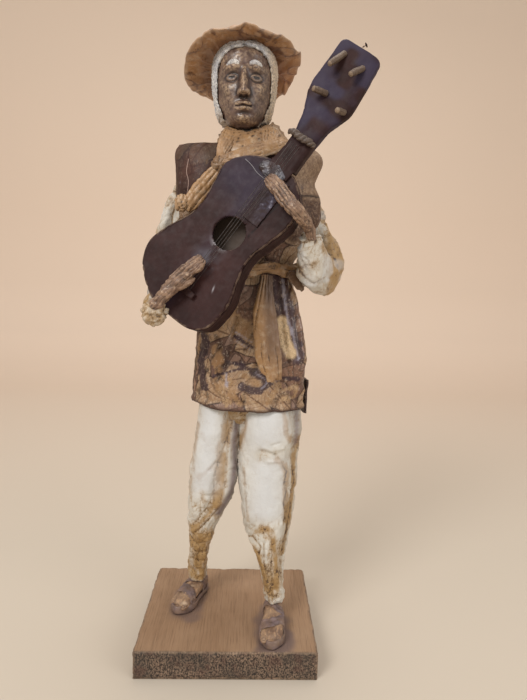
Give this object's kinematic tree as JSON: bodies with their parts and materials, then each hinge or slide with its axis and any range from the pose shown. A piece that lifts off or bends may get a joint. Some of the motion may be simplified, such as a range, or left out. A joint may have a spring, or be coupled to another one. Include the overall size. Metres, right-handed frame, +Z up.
{
  "type": "papier-mache guitar player figure",
  "caption": "Standing figure in a brimmed hat, scarf, belted tunic and loose trousers, playing a small hollow guitar on a rectangular wooden base.",
  "frame": {"origin": "centre of the wooden base's underside", "axes": "+Z up; the figure faces -Y; the figure's own left side is +X"},
  "size_m": [0.1188, 0.0989, 0.3481],
  "materials": {
    "wood": "old waxed block with rough-sawn edges",
    "feet": "painted papier-mache, satin, worn gold over brown",
    "leather": "dark varnished paper strips, satin",
    "cream": "crumpled off-white paper with golden-brown antiquing, satin",
    "print": "varnished paper with a printed leaf pattern, semi-gloss",
    "straw": "crumpled golden-tan paper with dark creases, satin",
    "skin": "dark brown paint over papier-mache, semi-gloss",
    "wool": "speckled white-grey flock, matt",
    "hands": "khaki-brown painted papier-mache, satin",
    "lacquer": "dark purple-brown lacquer on thin wood, satin",
    "fingerboard": "mottled dark blue-purple stain, satin",
    "peg": "whittled grey-tan wood, matt",
    "cordage": "wound cord stiffened with varnish",
    "iron": "small rusty nail",
    "gut": "stiff varnished thread"
  },
  "bodies": {
    "root": {"base": "wood", "foot_right": "feet", "sandal_right": "leather", "foot_left": "feet", "sandal_left": "leather", "trousers": "cream", "tunic": "print", "sash": "straw", "scarf": "straw", "head": "skin", "hair": "wool", "hat": "straw", "sleeve_right": "cream", "sleeve_left": "cream", "hand_right": "hands", "hand_left": "hands", "guitar_top": "lacquer", "guitar_sides": "lacquer", "guitar_back": "lacquer", "guitar_neck": "lacquer", "fretboard": "fingerboard", "string_nut": "cordage", "bridge": "lacquer", "tuning_peg_1": "peg", "tuning_peg_2": "peg", "tuning_peg_3": "peg", "tuning_peg_4": "peg", "nail": "iron", "string_1": "gut", "string_2": "gut", "string_3": "gut", "string_4": "gut"}
  },
  "joints": []
}
